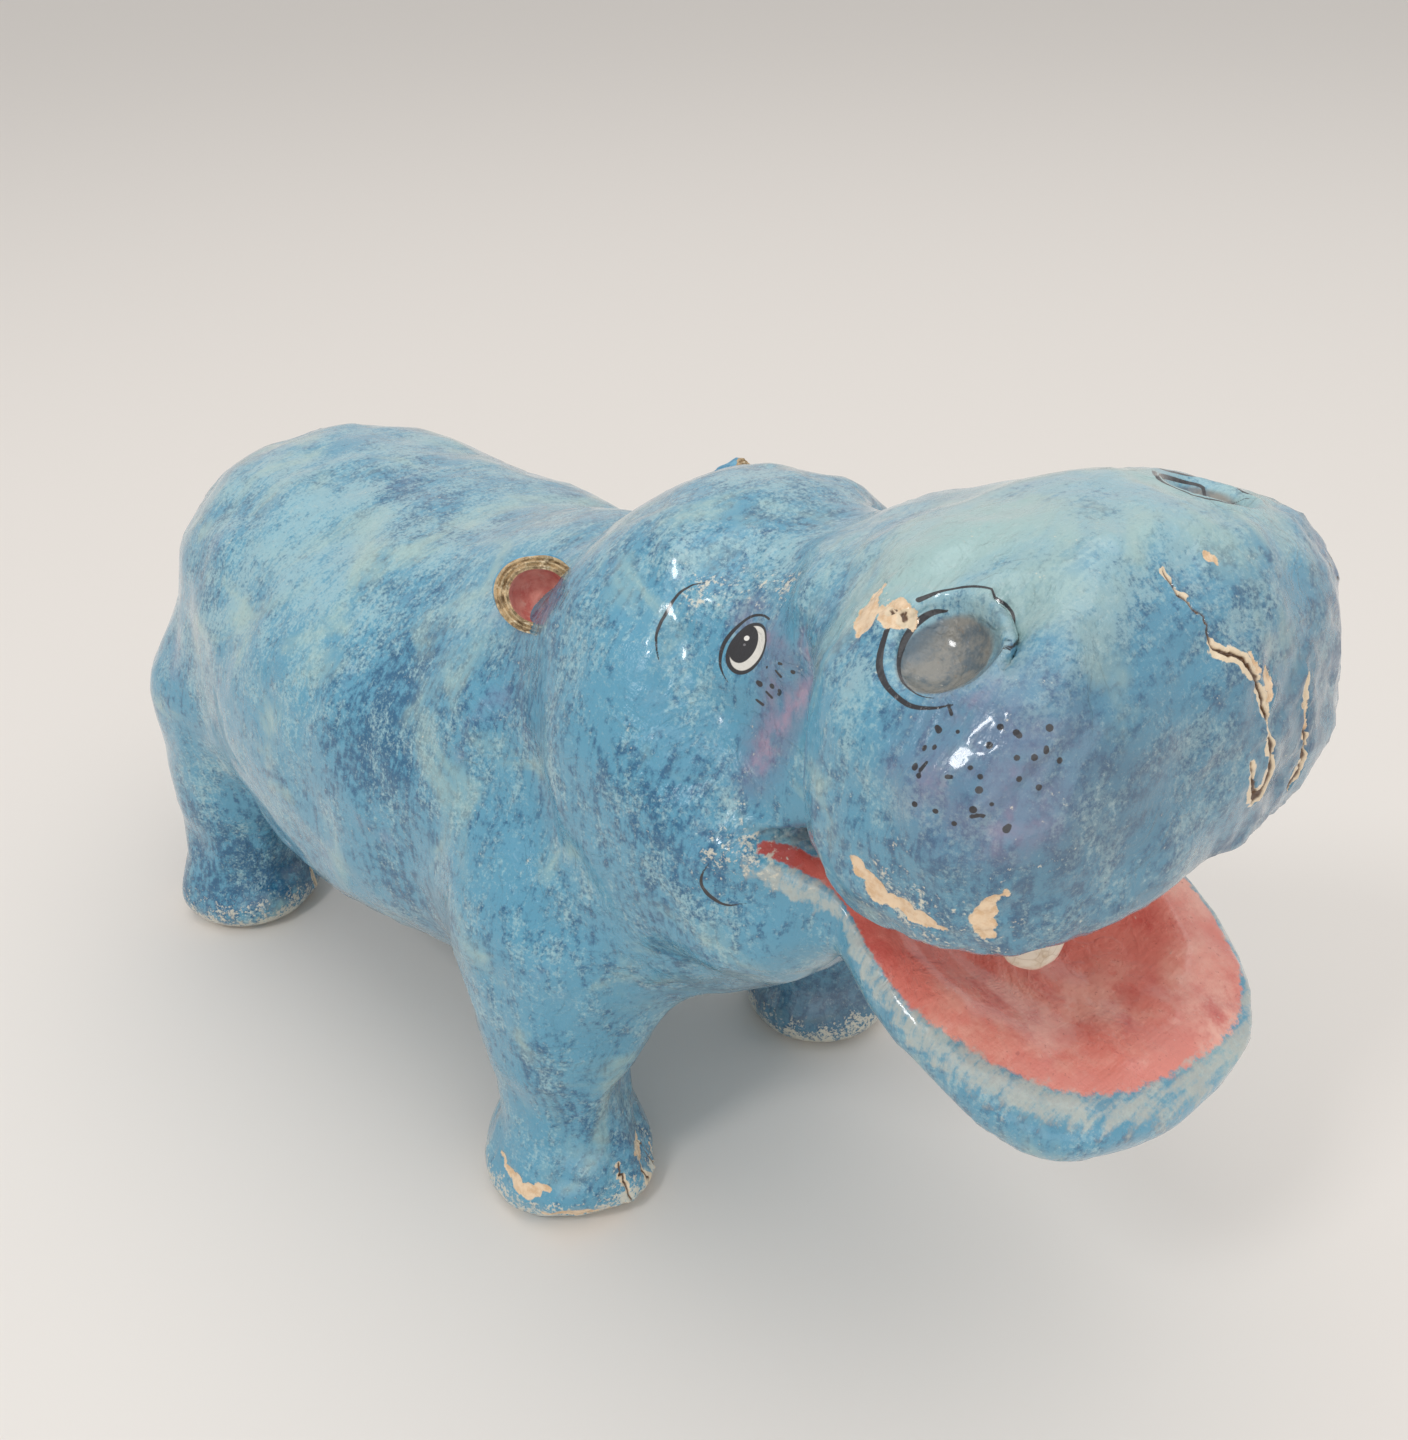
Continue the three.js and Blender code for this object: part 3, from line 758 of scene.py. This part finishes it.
blue = Paint("blue_painted_paper")
clouds = blue.noise(13, 5, 0.62, bend=0.6)
dapples = blue.noise(46, 5, 0.66)
sponge = blue.noise(240, 4, 0.72)
brush = blue.noise(1, 4, 0.6, blue.stretched((55, 420, 55), (0.15, 0.1, 0)))
grain = blue.noise(700, 3, 0.7)
read_deep, read_pale_and_lit_tops, read_blush = blue.read("deep"), blue.read("pale_and_lit_tops"), blue.read("blush")
deeper = blue.sum_of((clouds, 1), (read_deep, 0.16), (sponge, 1.25, 0.5), (brush, 0.8, 0.5),
                     (dapples, 0.4, 0.5))
colour = blue.over(mid_blue, deep_blue, blue.between(deeper, 0.4, 0.74))
# Pale blue mottling, laid thicker on the tops as painted light.
paler_and_lit_tops = blue.sum_of((dapples, 1), (read_pale_and_lit_tops, 0.2), (brush, 0.6, 0.5), (grain, 0.9, 0.5))
colour = blue.over(colour, pale_blue, blue.between(paler_and_lit_tops, 0.5, 0.8, 0, 0.85))
greener = blue.sum_of((blue.noise(20, 4, 0.6, bend=1), 1), (read_pale_and_lit_tops, 0.12))
colour = blue.over(colour, sea_green, blue.between(greener, 0.56, 0.76, 0, 0.6))
# Painted shade and greyer paint, both in a dull grey blue.
dulled_and_shaded = blue.times(blue.read("grey_and_shade"), blue.between(clouds, 0.3, 0.62, 0.4, 1))
colour = blue.over(colour, dull_shade_blue, blue.times(dulled_and_shaded, 0.9))
specks = blue.sum_of((blue.noise(430, 5, 0.8), 1), (dapples, 0.35))
colour = blue.over(colour, dry_specks, blue.between(specks, 0.72, 0.86, 0, 0.35))
colour = blue.over(colour, lilac, blue.between(blue.noise(27, 3, 0.6), 0.6, 0.8, 0, 0.35))
purple = blue.times(read_blush, blue.between(blue.noise(90, 4, 0.6), 0.3, 0.6, 0.25, 0.6))
colour = blue.over(colour, blush_purple, purple)
rosy = blue.times(read_blush, blue.between(blue.noise(70, 4, 0.6), 0.5, 0.75))
colour = blue.over(colour, blush_rose, blue.times(rosy, 0.7))
pinked = blue.times(blue.read("pink"), blue.between(blue.noise(160, 4, 0.6), 0.3, 0.6))
colour = blue.over(colour, pink, blue.times(pinked, 0.6))

hollow_edge = blue.sum_of((blue.read("hollow"), 1), (dapples, 0.2))
in_hollow = blue.over(hollow_grey, hollow_dark, blue.between(blue.noise(140, 4, 0.7), 0.42, 0.65))
in_hollow = blue.over(in_hollow, hollow_brown, blue.between(blue.noise(260, 5, 0.8), 0.57, 0.68, 0, 0.7))
# Painted shade: the dish turns darker and bluer on its side towards the head.
shade_to_head = blue.sum_of((blue.read("hollow_front"), 1), (dapples, 8))
in_hollow = blue.over(in_hollow, hollow_shade_blue, blue.between(shade_to_head, 5, -2, 0, 0.85))
colour = blue.over(colour, in_hollow, blue.between(hollow_edge, 1.14, 1.0))

wavy = blue.sum_of((blue.noise(230, 5, 0.75), 6.0, 0.5))
red_edge = blue.sum_of((blue.read("lining"), 1), (wavy, 1))
reds = blue.over(rose, pale_rose, blue.between(blue.noise(28, 5, 0.65), 0.45, 0.68))
reds = blue.over(reds, deep_rose, blue.between(blue.noise(50, 5, 0.72), 0.48, 0.72, 0, 0.9))
reds = blue.over(reds, rose_specks, blue.between(blue.noise(420, 3, 0.7), 0.62, 0.72, 0, 0.5))
# Painted shade: the red darkens deeper into the mouth, back towards its corners.
inner = blue.times(blue.read("into_mouth"), blue.between(dapples, 0.3, 0.6, 0.45, 0.9))
reds = blue.over(reds, mouth_shade_red, inner)
colour = blue.over(colour, reds, blue.between(red_edge, -1.0, -2.2))
scuffed = blue.sum_of((blue.read("lip_wear"), 0.3), (brush, 0.5), (sponge, 0.5))
colour = blue.over(colour, lip_scuff, blue.between(scuffed, 0.64, 0.84, 0, 0.75))
# Off-white worn paint, which along the brow is a painted highlight.
worn_and_sheen = blue.sum_of((blue.read("wear_and_sheen"), 0.2), (grain, 0.4), (sponge, 0.35), (blue.noise(75, 4, 0.7), 0.3))
colour = blue.over(colour, worn_white_and_sheen, blue.between(worn_and_sheen, 0.63, 0.7, 0, 0.85))
colour = blue.over(colour, black_ink, blue.between(blue.read("ink"), 0.12, -0.12))

eye = blue.read("eye_place", vector=True)
outline = blue.oval(eye, (-0.3, 0.6), (8.7, 6.3), 72)
white = blue.oval(eye, (-0.1, 0.8), (7.7, 5.4), 72)
pupil = blue.oval(eye, (-2.2, 1.4), (6.2, 4.7), 78)
gleam = blue.oval(eye, (-2.0, 3.4), (1.0, 0.8), 20)
glint = blue.oval(eye, (-1.8, 1.3), (0.5, 0.4), 20)
colour = blue.over(colour, eye_line, blue.between(outline, 1.04, 1.0))
colour = blue.over(colour, eye_white, blue.between(white, 1.02, 0.97))
in_pupil = blue.times(blue.between(pupil, 1.03, 0.98), blue.between(white, 1.06, 1.0))
colour = blue.over(colour, pupil_black, in_pupil)
colour = blue.over(colour, eye_gleam, blue.between(gleam, 1.1, 0.9))
colour = blue.over(colour, eye_glint, blue.between(glint, 1.1, 0.9))

paper = blue.over(cream_paper, tan_paper, blue.between(blue.noise(300, 4, 0.7), 0.4, 0.65))
bared = blue.between(blue.sum_of((blue.read("bare"), 1), (wavy, 0.5)), 0.15, -0.1)
colour = blue.over(colour, paper, bared)
uneven_tear = blue.between(blue.noise(95, 3, 0.6), 0.36, 0.64, -1.6, 0.7)
torn_lip = blue.sum_of((blue.read("split"), 1), (uneven_tear, 1), (wavy, 0.35))
colour = blue.over(colour, torn_cream, blue.between(torn_lip, 0.6, 0.3))
colour = blue.over(colour, core_brown, blue.between(blue.read("split"), 0.25, -0.1))

varnish = blue.between(blue.noise(60, 4, 0.6), 0.35, 0.7, 0.2, 0.42)
matt = blue.maths("MAXIMUM", bared, blue.between(worn_and_sheen, 0.63, 0.7, 0, 0.5))
crease_lines = blue.maths("ABSOLUTE", blue.maths("SUBTRACT", blue.noise(58, 4, 0.55, bend=0.8), 0.5))
wrinkled = blue.between(blue.noise(16, 2, 0.5), 0.4, 0.62)
crinkled = blue.times(blue.between(crease_lines, 0.09, 0.0), wrinkled)
rough_skin = blue.sum_of((brush, 0.5), (grain, 0.25), (blue.noise(120, 4, 0.55), 1), (crinkled, 0.45))
blue.finish({"Base Color": colour, "Roughness": blue.sum_of((varnish, 1), (matt, 0.4)), "Coat Weight": 0.8,
             "Coat Roughness": 0.1, "Normal": blue.bump(rough_skin, 0.0009, 0.75)})
shell.data.materials.append(blue.material)

# ---------------- the ears
# Small cups of the same paper, pushed into the sides of the head and glued. Their rims are torn
# through many layers, tan and brown, and the cups are painted rose red inside.
ear_at, ear_facing = np.array([-54, 22, 247]), np.array([-0.6, -0.62, 0.5])
ear_radius, ear_wall, ear_depth, ear_root = 14, 4.5, 11, 27
ear_around, layer_steps = 96, (0, -0.9, 0.35, -0.7, 0.5, -0.3)
root_profile = [(0.3, -1), (0.6, -0.92), (0.8, -0.76), (0.92, -0.6), (0.98, -0.4)]
rim_drop, cup_shift, thin_side = 1.6, 1.3, -50
left_ear_higher = 9.4


def rings_joined(around, rings):
    """Four-sided faces between rings of points that follow each other."""
    here = np.arange(rings - 1)[:, None] * around + np.arange(around)
    beside = np.arange(rings - 1)[:, None] * around + (np.arange(around) + 1) % around
    return here, beside, beside + around, here + around


def ear_outline():
    """Half the cup's section: its root and outside (0), its torn rim (1) and its inside (2)."""
    r = ear_radius
    outline = [(0.05, -ear_root, 0)]
    outline += [(wide * r, down * ear_root, 0) for wide, down in root_profile]
    outline += [(r + 0.2 * math.sin(n), -0.4 * ear_root + n * 1.1, 0) for n in range(1, 9)]
    for layer, lift in enumerate(layer_steps):
        for part in (0.12, 0.5, 0.88):
            outline.append((r - ear_wall * (layer + part) / len(layer_steps), -0.6 + lift, 1))
    for t in np.linspace(0.02, 1, 14) * math.pi / 2:
        outline.append(((r - ear_wall) * math.cos(t) ** 0.7 + 0.05, -0.6 - ear_depth * math.sin(t), 2))
    return outline


def ear_cup():
    """The cup's points and faces, turned about its own axis and then aimed."""
    out = ear_facing / np.linalg.norm(ear_facing)
    across = np.cross([0, 0, 1], out)
    across /= np.linalg.norm(across)
    up = np.cross(out, across)
    turns = np.arange(ear_around) * 2 * math.pi / ear_around
    dropped = rim_drop * (0.5 + 0.5 * np.cos(turns - math.radians(thin_side)))
    outline = ear_outline()
    points, zone = [], []
    for radius, height, part in outline:
        shift = 2 * cup_shift * (1 - radius / (1.6 * ear_radius)) if part else 0
        wide = radius * (1 + 0.045 * np.sin(2 * turns + 1) + 0.03 * np.sin(3 * turns))
        a, b = wide * np.cos(turns) + 0.77 * shift, wide * np.sin(turns) - 0.64 * shift
        h = height - (dropped if part else 0 * turns)
        points.append(ear_at[:, None] + np.outer(across, a) + np.outer(up, b) + np.outer(out, h))
        zone += [part] * ear_around
    points, zone = np.hstack(points), np.array(zone, float)
    torn = 0.8 * lumps(points, 3.2, 21) + 0.5 * lumps(points, 1.4, 22)
    points = points + out[:, None] * torn * (zone == 1)
    pressed = 0.7 * lumps(points, 8, 23) * (zone > 0)
    points = points + out[:, None] * pressed + 0.5 * lumps(points, 7, 24) * (zone < 1)
    rings = len(outline)
    faces = np.stack(rings_joined(ear_around, rings), 2).reshape(-1, 4).tolist()
    faces.append(list(range(ear_around))[::-1])
    faces.append(list(range((rings - 1) * ear_around, rings * ear_around)))
    return points, faces, zone


cup_rose, cup_deep_rose, cup_pale_rose = tint(236, 154, 138), tint(212, 108, 98), tint(238, 178, 160)
layer_tan, layer_brown, layer_cream = tint(206, 178, 136), tint(128, 104, 74), tint(232, 214, 180)
cup_blue, cup_deep_blue, cup_worn = tint(112, 172, 200), tint(60, 130, 166), tint(224, 214, 190)

ear = Paint("ear_torn_paper")
zone = ear.read("zone")
mottle = ear.noise(260, 4, 0.7)
inside = ear.over(cup_rose, cup_deep_rose, ear.between(ear.noise(110, 4, 0.6), 0.4, 0.65))
inside = ear.over(inside, cup_pale_rose, ear.between(mottle, 0.5, 0.72, 0, 0.7))
layers = ear.over(layer_tan, layer_brown, ear.between(ear.noise(330, 5, 0.8), 0.42, 0.62))
layers = ear.over(layers, layer_cream, ear.between(mottle, 0.55, 0.68))
outside = ear.over(cup_blue, cup_deep_blue, ear.between(ear.noise(90, 5, 0.7), 0.4, 0.65))
outside = ear.over(outside, cup_worn, ear.between(ear.noise(190, 5, 0.75), 0.6, 0.68, 0, 0.8))
ear_colour = ear.over(outside, layers, ear.between(zone, 0.45, 0.6))
ear_colour = ear.over(ear_colour, inside, ear.between(zone, 1.35, 1.6))
ear.finish({"Base Color": ear_colour, "Roughness": 0.55,
            "Normal": ear.bump(ear.noise(420, 4, 0.7), 0.0008, 0.6)})

cup_points, cup_faces, cup_zone = ear_cup()
for name, side in (("right", 1), ("left", -1)):
    moved = cup_points * [[side], [1], [1]] + [[0], [0], [left_ear_higher if side < 0 else 0]]
    cup = set_in_frame(f"ear_cup_{name}", moved, [f[::side] for f in cup_faces])
    note(cup, "zone", cup_zone)
    cup.data.materials.append(ear.material)
    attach(cup, "root")
    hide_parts(f"ear_{name}")

# ---------------- the teeth
# Two blunt pegs of the same paper, glued under the upper lip and painted off-white. The paint is
# cracked finely and has yellowed.
tooth_at, tooth_radius, tooth_tall = np.array([-50, -191, 218.5]), 9.5, 12.5
ivory, yellowed, crackle_brown = tint(216, 200, 182), tint(192, 168, 142), tint(150, 118, 84)
crackle_scale = 210

tooth = Paint("tooth_paint")
crackle = tooth.node("TexVoronoi", feature="DISTANCE_TO_EDGE")
crackle.inputs["Scale"].default_value = crackle_scale
tooth.wire(tooth.stretched((1, 1, 0.6)), crackle.inputs["Vector"])
tooth_colour = tooth.over(ivory, yellowed, tooth.between(tooth.noise(160, 4, 0.7), 0.45, 0.7))
cracked = tooth.between(crackle.outputs["Distance"], 0.035, 0.01, 0, 0.3)
tooth_colour = tooth.over(tooth_colour, crackle_brown, cracked)
tooth.finish({"Base Color": tooth_colour, "Roughness": 0.35, "Coat Weight": 0.3,
              "Normal": tooth.bump(tooth.noise(260, 4, 0.6), 0.0005, 0.5)})


def tooth_peg(around=64, rings=40, pole=0.02, squareness=0.8):
    """A blunt peg, a little squarer than a ball and pinched by hand."""
    turns, tilts = np.arange(around) * 2 * math.pi / around, np.linspace(pole, math.pi - pole, rings)
    turn, tilt = np.meshgrid(turns, tilts)
    flat = np.sin(tilt) ** squareness
    peg = np.array([flat * np.cos(turn), flat * np.sin(turn), np.cos(tilt)]).reshape(3, -1)
    peg *= np.array([[tooth_radius], [tooth_radius], [tooth_tall]])
    peg *= 1 + 0.05 * lumps(peg, 7, 31) + 0.025 * lumps(peg, 3, 32)
    here, beside, beside_below, below = rings_joined(around, rings)
    faces = np.stack([here, below, beside_below, beside], 2).reshape(-1, 4).tolist()
    faces.append(list(range(around)))
    faces.append(list(range((rings - 1) * around, rings * around))[::-1])
    return peg + tooth_at[:, None], faces


peg_points, peg_faces = tooth_peg()
for name, side in (("right", 1), ("left", -1)):
    peg = set_in_frame(f"tooth_peg_{name}", peg_points * [[side], [1], [1]], [f[::side] for f in peg_faces])
    peg.data.materials.append(tooth.material)
    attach(peg, "root")
    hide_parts(f"tooth_{name}")

# ---------------- the floor and the light
# A wide sheet of pale matt card in a pale room. A large soft light hangs overhead, a broad one
# stands low in front, and a small one at the left gives the varnish its bright spots.
card_reach, card_tint = 9, tint(231, 225, 219)
room_tint, room_strength = (1, 0.995, 0.985, 1), 0.67

floor_card = Paint("pale_card")
floor_card.finish({"Base Color": card_tint, "Roughness": 0.7})
card_corners = [(x * card_reach, y * card_reach, 0) for x, y in ((-1, -1), (1, -1), (1, 1), (-1, 1))]
floor_mesh = bpy.data.meshes.new("floor")
floor_mesh.from_pydata(card_corners, [], [(0, 1, 2, 3)])
floor = bpy.data.objects.new("floor", floor_mesh)
floor.data.materials.append(floor_card.material)
bpy.context.scene.collection.objects.link(floor)

world = bpy.data.worlds.new("pale_room")
world.use_nodes = True
world.node_tree.nodes["Background"].inputs["Color"].default_value = room_tint
world.node_tree.nodes["Background"].inputs["Strength"].default_value = room_strength
bpy.context.scene.world = world
bpy.context.scene.view_settings.view_transform = "Standard"


def soft_window(name, place, aim, size, power):
    """A flat soft light that faces the place it is aimed at."""
    lamp = bpy.data.lights.new(name, "AREA")
    lamp.shape = "RECTANGLE"
    lamp.size, lamp.size_y = size
    lamp.energy = power
    holder = bpy.data.objects.new(name, lamp)
    holder.location = place
    holder.rotation_euler = (Vector(aim) - Vector(place)).to_track_quat("-Z", "Y").to_euler()
    bpy.context.scene.collection.objects.link(holder)


soft_window("overhead", (0.3, -0.3, 3.0), (0, -0.2, 0), (3.5, 3.5), 30)
soft_window("front_wall", (-1.0, -2.6, 0.9), (0, 0, 0.1), (3.2, 1.6), 12)
soft_window("left_window", (-1.6, -0.3, 1.9), (0, 0, 0.15), (0.4, 0.4), 11)

# ---------------- the camera
# Held a little above the animal and off its right shoulder, looking down at the open mouth.
turn, tilt, lean = math.radians(-42.15), math.radians(30.363), math.radians(-0.935)
camera_place = (-0.32835, -0.42557, 0.46720)
film_width, focal_length, shift_across, shift_up = 36, 37.43, -0.0017, 0.0085
backwards = Vector((math.sin(turn) * math.cos(tilt), -math.cos(turn) * math.cos(tilt), math.sin(tilt)))
level = Vector((-backwards.y, backwards.x, 0)).normalized()
upright = backwards.cross(level)
to_right = math.cos(lean) * level + math.sin(lean) * upright
to_top = -math.sin(lean) * level + math.cos(lean) * upright
lens = bpy.data.cameras.new("camera")
lens.sensor_width = film_width
lens.lens = focal_length
lens.shift_x, lens.shift_y = shift_across, shift_up
camera = bpy.data.objects.new("camera", lens)
camera.matrix_world = Matrix((to_right, to_top, backwards)).transposed().to_4x4()
camera.location = camera_place
bpy.context.scene.collection.objects.link(camera)
bpy.context.scene.camera = camera
